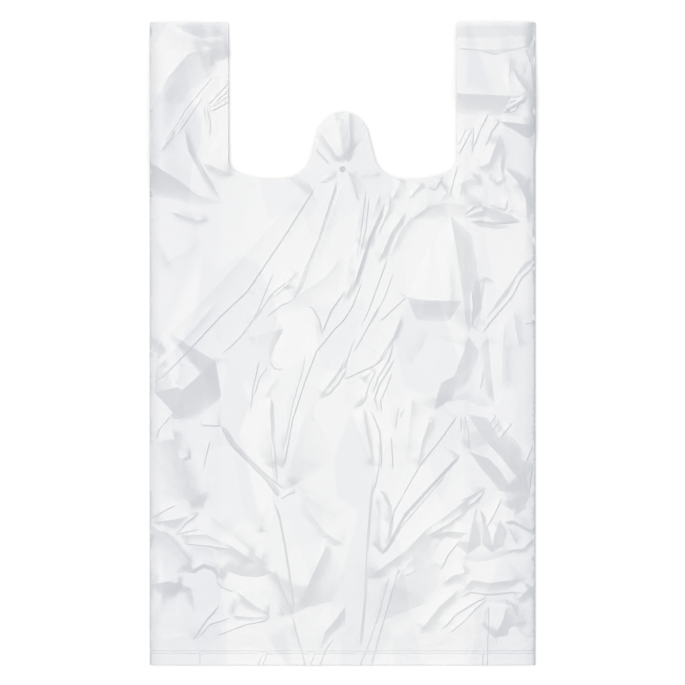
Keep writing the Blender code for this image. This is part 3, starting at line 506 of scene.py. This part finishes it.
def fold_height(fold, x, y):
    """Height that one fold adds at each point."""
    path = placed(fold)
    lengths = [(b - a).length for a, b in zip(path, path[1:])]
    total = sum(lengths)
    near = np.full(x.shape, np.inf)
    side = np.zeros(x.shape)
    share = np.zeros(x.shape)
    done = 0.0
    for start, end, length in zip(path, path[1:], lengths):
        along = (end - start) / length
        off_x, off_y = x - start.x, y - start.y
        t = np.clip(off_x * along.x + off_y * along.y, 0.0, length)
        away = np.hypot(off_x - along.x * t, off_y - along.y * t)
        closer = away < near
        near = np.where(closer, away, near)
        side = np.where(closer, along.x * off_y - along.y * off_x, side)
        share = np.where(closer, (done + t) / total, share)
        done += length
    full = clamp(np.minimum(share, 1 - share) / ((1 - fold.hold) / 2))
    left = clamp(full - near / fold.left) ** fold.curve
    right = clamp(full - near / fold.right) ** fold.curve
    return fold.rise * np.where(side > 0, left, right)


def foot(fold, flank):
    """Line along which a flank ends: a positive flank is on the right of the path."""
    path = placed(fold)
    lengths = [(b - a).length for a, b in zip(path, path[1:])]
    total = sum(lengths)
    taper = (1 - fold.hold) / 2
    line = [path[0]]
    done = 0.0
    for start, end, length in zip(path, path[1:], lengths):
        across = (end - start).orthogonal().normalized() * -flank
        turns = [clamp((share * total - done) / length) for share in (taper, 1 - taper)]
        for share in sorted({0.0, 1.0, *turns}):
            along = (done + share * length) / total
            full = clamp(min(along, 1 - along) / taper)
            if full > 0:
                line.append(start.lerp(end, share) + across * full)
        done += length
    return line + [path[-1]]


def feet(fold):
    """The feet that are as sharp as the crest: those of narrow flanks and of broad ones."""
    if fold.curve == SOFT:
        return []
    narrow, broad = SOFT_FEET
    flanks = [flank for flank in (-fold.left, fold.right) if not narrow < abs(flank) < broad]
    return [foot(fold, flank) for flank in flanks]


def relief(folds, x, y):
    height = np.zeros(x.shape)
    for fold in folds:
        reach = max(fold.left, fold.right)
        xs, ys = zip(*((point.x, point.y) for point in placed(fold)))
        inside = (x > min(xs) - reach) & (x < max(xs) + reach)
        inside &= (y > min(ys) - reach) & (y < max(ys) + reach)
        height[inside] += fold_height(fold, x[inside], y[inside])
    return height * freedom(x, y)


def on_level(face, level):
    return all(abs(vert.co.z - level * LAYER_PITCH) < NOSE / 10 for vert in face.verts)


def knife(bm, level, start, end, sharp):
    """Cuts one flat panel along a straight line between two points."""
    along = end - start
    length = along.length
    along.normalize()
    across = Vector((-along.y, along.x))
    cut = []
    middle = (start + end) / 2
    near = length / 2 + 2 * COLUMN_SPACING
    for face in bm.faces:
        corner = face.verts[0].co
        if abs(corner.x - middle.x) > near or abs(corner.y - middle.y) > near:
            continue
        reach = [(vert.co.xy - start).dot(along) for vert in face.verts]
        if max(reach) <= 0 or min(reach) >= length:
            continue
        sides = [(vert.co.xy - start).dot(across) for vert in face.verts]
        if max(sides) > 0 > min(sides) and on_level(face, level):
            cut.append(face)
    geom = {item for face in cut for item in (face, *face.edges, *face.verts)}
    made = bmesh.ops.bisect_plane(
        bm,
        geom=list(geom),
        dist=KNIFE_SNAP,
        plane_co=start.to_3d(),
        plane_no=across.to_3d(),
    )
    if sharp:
        for item in made["geom_cut"]:
            if isinstance(item, bmesh.types.BMEdge):
                item.smooth = False


def arc(centre, radii, first, last):
    count = max(2, math.ceil(abs(last - first) / ARC_STEP))
    angles = [first + (last - first) * i / count for i in range(count + 1)]
    return [
        Vector((centre[0] + radii[0] * math.cos(a), centre[1] + radii[1] * math.sin(a)))
        for a in angles
    ]


def mouth_outline():
    """The cut edge of the mouth, from the left handle over the tab to the right one."""
    tip_y = MOUTH_Y + TAB_HEIGHT - TAB_TIP_RADIUS
    down = tip_y + TAB_TIP_RADIUS * math.sin(TAB_LEAN) - MOUTH_Y
    reach = TAB_FILLET - (TAB_FILLET - down) * math.sin(TAB_LEAN)
    fillet_x = TAB_TIP_RADIUS * math.cos(TAB_LEAN) + reach / math.cos(TAB_LEAN)
    tip = arc((0.0, tip_y), (TAB_TIP_RADIUS, TAB_TIP_RADIUS), math.pi / 2, TAB_LEAN)
    fillet = arc(
        (fillet_x, MOUTH_Y + TAB_FILLET),
        (TAB_FILLET, TAB_FILLET),
        math.pi + TAB_LEAN,
        1.5 * math.pi,
    )
    corner = arc(
        (STRAP_EDGE - STRAP_CORNER_RUN, MOUTH_Y + STRAP_CORNER_RISE),
        (STRAP_CORNER_RUN, STRAP_CORNER_RISE),
        -math.pi / 2,
        0.0,
    )
    half = tip + fillet + corner + [Vector((STRAP_EDGE, TOP + STRAP_CORNER_RISE))]
    return [Vector((-point.x, point.y)) for point in reversed(half[1:])] + half


def inside_outline(point, outline):
    """True where a point lies within a closed outline."""
    inside = False
    for a, b in zip(outline, outline[1:] + outline[:1]):
        if (a.y > point.y) != (b.y > point.y):
            if point.x < a.x + (point.y - a.y) / (b.y - a.y) * (b.x - a.x):
                inside = not inside
    return inside


def cut_mouth(bm, level):
    outline = mouth_outline()
    for start, end in zip(outline, outline[1:]):
        knife(bm, level, start, end, sharp=False)
    waste = [
        face
        for face in bm.faces
        if on_level(face, level) and inside_outline(face.calc_center_median().xy, outline)
    ]
    bmesh.ops.delete(bm, geom=waste, context="FACES")


def drawn_sheet(section, rows):
    """A flat section, drawn out row by row along the bag."""
    bm = bmesh.new()
    line = [bm.verts.new((x, rows[0], level * LAYER_PITCH)) for x, level in section]
    edges = [bm.edges.new(pair) for pair in zip(line, line[1:])]
    for last, row in zip(rows, rows[1:]):
        drawn = bmesh.ops.extrude_edge_only(bm, edges=edges)["geom"]
        edges = [item for item in drawn if isinstance(item, bmesh.types.BMEdge)]
        verts = [item for item in drawn if isinstance(item, bmesh.types.BMVert)]
        bmesh.ops.translate(bm, verts=verts, vec=(0.0, row - last, 0.0))
    return bm


def spread(first, last, spacing):
    count = max(1, round(abs(last - first) / spacing))
    return [first + (last - first) * i / count for i in range(count + 1)]


def half_tube(level, leaf_level):
    """Section of a panel with the gusset leaf that joins it on either side."""
    middle = (level + leaf_level) / 2
    inner = (BACK_LEAF + FRONT_LEAF) / 2
    rounded = EDGE - NOSE * NOSE_ROUND
    side = [
        (EDGE - NOSE, level),
        (rounded, level + (middle - level) * NOSE_ROUND),
        (EDGE, middle),
        (rounded, leaf_level + (middle - leaf_level) * NOSE_ROUND),
        (EDGE - NOSE, leaf_level),
        ((EDGE + GUSSET_EDGE) / 2, leaf_level),
        (GUSSET_EDGE + NOSE, leaf_level),
        (GUSSET_EDGE, inner),
    ]
    columns = spread(-STEP_EDGE, STEP_EDGE, COLUMN_SPACING)
    over = [(x, level) for x in spread(GUSSET_EDGE, EDGE - NOSE, COLUMN_SPACING)[:-1]]
    right = [(x, lvl) for x, lvl in over + side]
    left = [(-x, lvl) for x, lvl in reversed(right)]
    return left + [(x, level) for x in columns] + right


def refine(bm, level, longest):
    """Halves the long edges of a panel until none is left."""
    bmesh.ops.triangulate(bm, faces=bm.faces[:])
    while True:
        long_edges = [
            edge
            for edge in bm.edges
            if edge.calc_length() > longest
            and any(on_level(face, level) for face in edge.link_faces)
        ]
        if not long_edges:
            return
        bmesh.ops.subdivide_edges(bm, edges=long_edges, cuts=1)
        many = [face for face in bm.faces if len(face.verts) > 3]
        bmesh.ops.triangulate(bm, faces=many)


def settle(bm, level, folds):
    """Lays the film at its height and raises its creases."""
    flat = np.array([vert.co for vert in bm.verts])
    x, y = flat[:, 0], flat[:, 1]
    levels = flat[:, 2] / LAYER_PITCH
    panel = abs(levels - level) < LEVEL_TOLERANCE
    if level == FRONT_LEVEL:
        levels[panel] = front_level(x[panel])
    height = layer_height(levels, y)
    lift = relief(folds, x, y)
    if level == FRONT_LEVEL:
        lift += billow(x, y)
    leaf = ~panel
    lift[leaf] *= clamp((abs(x[leaf]) - GUSSET_EDGE) / (GUSSET_DEPTH - EDGE_SPREAD))
    floor_of_panel = layer_height(levels - LEAST_CLEARANCE, y)
    height = np.maximum(height + lift, floor_of_panel)
    from_seal = abs(abs(y - SEAL_Y) - SEAL_WIDTH / 2)
    height += SEAL_BEAD * SEAL_BEAD_RISE * clamp(1 - from_seal / SEAL_BEAD)
    for vert, z in zip(bm.verts, height):
        vert.co.z = z


def cut_area():
    """Flat area of one panel with its two gusset leaves, less the mouth."""
    outline = mouth_outline()
    turns = zip(outline, outline[1:] + outline[:1])
    mouth = abs(sum(a.x * b.y - b.x * a.y for a, b in turns)) / 2
    above = 2 * STRAP_EDGE * STRAP_CORNER_RISE
    return (BAG_WIDTH + 2 * GUSSET_DEPTH) * BAG_LENGTH - (mouth - above)


def as_object(bm, name):
    mesh = bpy.data.meshes.new(name)
    bm.to_mesh(mesh)
    bm.free()
    obj = bpy.data.objects.new(name, mesh)
    bpy.context.scene.collection.objects.link(obj)
    return obj


def film_piece(name, level, leaf_level, folds, longest):
    seal_edges = [SEAL_Y + side * SEAL_WIDTH / 2 for side in (-1, 1)]
    beads = [edge + side * SEAL_BEAD for edge in seal_edges for side in (-1, 0, 1)]
    rows = [BOTTOM, SEAL_Y - WELD_FLAT, *beads, SEAL_Y + WELD_FLAT]
    rows += spread(SEAL_Y + WELD_FLAT + ROW_SPACING, TOP - WELD_FLAT, ROW_SPACING)
    bm = drawn_sheet(half_tube(level, leaf_level), rows + [TOP])
    cut_mouth(bm, level)
    for fold in folds:
        for line in (placed(fold), *feet(fold)):
            for start, end in zip(line, line[1:]):
                knife(bm, level, start, end, sharp=True)
    refine(bm, level, longest)
    settle(bm, level, folds)
    for face in bm.faces:
        face.smooth = True
    for edge in bm.edges:
        if edge.is_boundary:
            edge.smooth = False
    bmesh.ops.recalc_face_normals(bm, faces=bm.faces[:])
    piece = as_object(bm, name)
    wall = piece.modifiers.new("film thickness", "SOLIDIFY")
    wall.thickness = FILM
    wall.offset = 0.0
    return piece


def pin_weld():
    """The spot where a hot pin welds the bags of a pack together: a shallow dished disc."""
    radius = PIN_DIAMETER / 2
    bm = bmesh.new()
    base = layer_height(MIDDLE_LEVEL, PIN_Y) + billow(0.0, PIN_Y) + FILM + PIN_PROUD
    line = [bm.verts.new((out * radius, PIN_Y, base + rise)) for out, rise in PIN_PROFILE]
    edges = [bm.edges.new(pair) for pair in zip(line, line[1:])]
    bmesh.ops.spin(
        bm,
        geom=line + edges,
        cent=(0.0, PIN_Y, 0.0),
        axis=(0.0, 0.0, 1.0),
        angle=2 * math.pi,
        steps=PIN_STEPS,
        use_merge=True,
    )
    bmesh.ops.remove_doubles(bm, verts=bm.verts[:], dist=MERGE_DISTANCE)
    rim = [edge for edge in bm.edges if edge.is_boundary]
    bmesh.ops.contextual_create(bm, geom=rim)
    for face in bm.faces:
        face.smooth = True
    bmesh.ops.recalc_face_normals(bm, faces=bm.faces[:])
    return as_object(bm, "pin_weld")


# Materials


def linear(hex_colour):
    """An sRGB hex colour as the linear values a shader takes."""
    channels = [int(hex_colour[i : i + 2], 16) / 255 for i in (1, 3, 5)]
    values = [c / 12.92 if c <= 0.04045 else ((c + 0.055) / 1.055) ** 2.4 for c in channels]
    return (*values, 1.0)


def add(tree, kind, settings=None, links=None):
    """Adds a node: settings go to its properties or sockets, links are (socket, output)."""
    node = tree.nodes.new(kind)
    for key, value in (settings or {}).items():
        if isinstance(key, str) and hasattr(node, key):
            setattr(node, key, value)
        else:
            node.inputs[key].default_value = value
    for socket, output in (links or {}).items():
        tree.links.new(output, node.inputs[socket])
    return node


def new_material(name):
    material = bpy.data.materials.new(name)
    material.use_nodes = True
    material.node_tree.nodes.clear()
    return material, material.node_tree


def film_material():
    """Blown polyethylene film: satin gloss, faint lines along the draw, milky in layers, with
    painted shade in soft patches and towards the side folds.
    """
    material, tree = new_material("blown_polyethylene_film")
    place = add(tree, "ShaderNodeTexCoord").outputs["Object"]
    draw = add(
        tree,
        "ShaderNodeMapping",
        {"Scale": (1.0, DRAW_STRETCH, 1.0)},
        {"Vector": place},
    )
    lines = add(
        tree,
        "ShaderNodeTexNoise",
        {"Scale": 1 / DRAW_LINE_SPACING, "Detail": 2.0},
        {"Vector": draw.outputs["Vector"]},
    )
    rumple = add(
        tree,
        "ShaderNodeTexNoise",
        {"Scale": 1 / RUMPLE_SIZE, "Detail": 3.0, "Roughness": 0.55},
        {"Vector": place},
    )
    waves = add(
        tree,
        "ShaderNodeBump",
        {"Strength": 0.22, "Distance": RUMPLE_DEPTH},
        {"Height": rumple.outputs["Fac"]},
    )
    bump = add(
        tree,
        "ShaderNodeBump",
        {"Strength": 0.12, "Distance": DRAW_LINE_DEPTH},
        {"Height": lines.outputs["Fac"], "Normal": waves.outputs["Normal"]},
    )
    parts = add(tree, "ShaderNodeSeparateXYZ", links={"Vector": place})
    off_centre = add(tree, "ShaderNodeMath", {"operation": "ABSOLUTE"}, {0: parts.outputs["X"]})
    over_gusset = add(
        tree,
        "ShaderNodeMapRange",
        {"From Min": GUSSET_EDGE - TINT_EDGE, "From Max": GUSSET_EDGE + TINT_EDGE},
        {"Value": off_centre.outputs["Value"]},
    )
    # Painted shade: the film darkens towards each side fold, where it curves down away from the
    # lamps
    painted_fold_shade = add(
        tree,
        "ShaderNodeMapRange",
        {
            "interpolation_type": "SMOOTHSTEP",
            "From Min": HALF - FOLD_SHADE,
            "From Max": HALF,
            "To Max": 0.6,
        },
        {"Value": off_centre.outputs["Value"]},
    )
    # Painted shade: soft random patches, slanted like the long folds, darken the film as its
    # tilted facets would
    slant = add(
        tree,
        "ShaderNodeMapping",
        {"Rotation": (0.0, 0.0, math.radians(35)), "Scale": (1.0, 0.45, 1.0)},
        {"Vector": place},
    )
    shade_patches = add(
        tree,
        "ShaderNodeTexVoronoi",
        {"feature": "SMOOTH_F1", "Scale": 1 / SHADE_PATCH_SIZE, "Smoothness": 0.12},
        {"Vector": slant.outputs["Vector"]},
    )
    apart = add(tree, "ShaderNodeSeparateColor", links={"Color": shade_patches.outputs["Color"]})
    tint = {"data_type": "RGBA"}
    # The second colour of each film tone is its painted shade in the patches
    middle = add(
        tree,
        "ShaderNodeMix",
        {**tint, 6: linear("#DEDFE0"), 7: linear("#D4D6DA")},
        {"Factor": apart.outputs["Red"]},
    )
    sides = add(
        tree,
        "ShaderNodeMix",
        {**tint, 6: linear("#DCDDDF"), 7: linear("#D2D4D9")},
        {"Factor": apart.outputs["Red"]},
    )
    film = add(
        tree,
        "ShaderNodeMix",
        tint,
        {"Factor": over_gusset.outputs["Result"], 6: middle.outputs[2], 7: sides.outputs[2]},
    )
    # Mixes in the painted shade of the side folds
    colour = add(
        tree,
        "ShaderNodeMix",
        {**tint, 7: linear("#BFC2C6")},
        {"Factor": painted_fold_shade.outputs["Result"], 6: film.outputs[2]},
    )
    shader = add(
        tree,
        "ShaderNodeBsdfPrincipled",
        {
            "Roughness": 0.21,
            "IOR": 1.51,
            "Specular IOR Level": 1.0,
            "Alpha": 0.85,
        },
        {"Base Color": colour.outputs[2], "Normal": bump.outputs["Normal"]},
    )
    add(tree, "ShaderNodeOutputMaterial", links={"Surface": shader.outputs["BSDF"]})
    return material


def melt_material():
    """Film melted by the pin: the layers have run together, so it is denser and duller."""
    material, tree = new_material("melted_polyethylene")
    place = add(tree, "ShaderNodeTexCoord").outputs["Object"]
    grain = add(
        tree,
        "ShaderNodeTexNoise",
        {"Scale": 1 / MELT_GRAIN, "Detail": 2.0},
        {"Vector": place},
    )
    tone = add(
        tree,
        "ShaderNodeMix",
        {"data_type": "RGBA", 6: linear("#AEB3BA"), 7: linear("#C4C8CE")},
        {"Factor": grain.outputs["Fac"]},
    )
    bump = add(
        tree,
        "ShaderNodeBump",
        {"Strength": 0.4, "Distance": 0.0002},
        {"Height": grain.outputs["Fac"]},
    )
    shader = add(
        tree,
        "ShaderNodeBsdfPrincipled",
        {"Roughness": 0.4, "IOR": 1.51},
        {"Base Color": tone.outputs[2], "Normal": bump.outputs["Normal"]},
    )
    add(tree, "ShaderNodeOutputMaterial", links={"Surface": shader.outputs["BSDF"]})
    return material


def floor_material():
    """White board: bright to the camera, and it keeps the soft shadow round the bag."""
    material, tree = new_material("white_board")
    white = add(
        tree,
        "ShaderNodeBsdfDiffuse",
        {"Color": linear("#E6E6E6"), "Roughness": 0.0},
    )
    rays = add(tree, "ShaderNodeLightPath")
    seen = add(
        tree,
        "ShaderNodeMath",
        {"operation": "MAXIMUM"},
        {0: rays.outputs["Is Camera Ray"], 1: rays.outputs["Is Glossy Ray"]},
    )
    seen = add(
        tree,
        "ShaderNodeMath",
        {"operation": "MAXIMUM"},
        {0: seen.outputs["Value"], 1: rays.outputs["Is Transmission Ray"]},
    )
    lift = add(
        tree,
        "ShaderNodeMath",
        {"operation": "MULTIPLY", 1: FLOOR_GLOW},
        {0: seen.outputs["Value"]},
    )
    glow = add(tree, "ShaderNodeEmission", links={"Strength": lift.outputs["Value"]})
    both = add(
        tree,
        "ShaderNodeAddShader",
        links={0: white.outputs["BSDF"], 1: glow.outputs["Emission"]},
    )
    add(tree, "ShaderNodeOutputMaterial", links={"Surface": both.outputs["Shader"]})
    return material


# Stage


def make_stage():
    bm = bmesh.new()
    bmesh.ops.create_grid(bm, x_segments=1, y_segments=1, size=FLOOR_REACH)
    floor = as_object(bm, "floor")
    floor.location.z = -FLOOR_DROP
    floor.data.materials.append(floor_material())


def add_lamp(name, direction, level, spread):
    light = bpy.data.lights.new(name, "SUN")
    light.energy = level
    light.color = linear(LAMP_COLOUR)[:3]
    light.angle = spread
    obj = bpy.data.objects.new(name, light)
    obj.rotation_euler = Vector(direction).to_track_quat("Z", "Y").to_euler()
    bpy.context.scene.collection.objects.link(obj)


def make_lights():
    world = bpy.data.worlds.new("studio")
    world.use_nodes = True
    background = world.node_tree.nodes["Background"]
    background.inputs["Color"].default_value = linear(FILL_COLOUR)
    background.inputs["Strength"].default_value = WORLD_LEVEL
    bpy.context.scene.world = world
    add_lamp("overhead", OVERHEAD_DIRECTION, OVERHEAD_LEVEL, OVERHEAD_SPREAD)
    add_lamp("key", KEY_DIRECTION, KEY_LEVEL, KEY_SPREAD)


def make_camera():
    camera = bpy.data.cameras.new("camera")
    camera.sensor_width = SENSOR
    camera.lens = LENS
    across = PICTURE * PIXEL
    obj = bpy.data.objects.new("camera", camera)
    down = (BAG_CENTRE_PIXEL[1] - PICTURE / 2) * PIXEL
    right = (BAG_CENTRE_PIXEL[0] - PICTURE / 2) * PIXEL
    obj.location = (-right, down, across * LENS / SENSOR)
    bpy.context.scene.collection.objects.link(obj)
    bpy.context.scene.camera = obj
    bpy.context.scene.view_settings.view_transform = "Standard"


def main():
    film = film_material()
    pieces = [
        film_piece("front_film", FRONT_LEVEL, FRONT_LEAF, FRONT_FOLDS, FRONT_EDGE_LENGTH),
        film_piece("back_film", BACK_LEVEL, BACK_LEAF, BACK_FOLDS, BACK_EDGE_LENGTH),
    ]
    for piece in pieces:
        piece.data.materials.append(film)
        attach(piece, "root")
        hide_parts("carrier_bag")
        cut_area()
    pin = pin_weld()
    pin.data.materials.append(melt_material())
    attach(pin, "root")
    make_stage()
    make_lights()
    make_camera()


main()
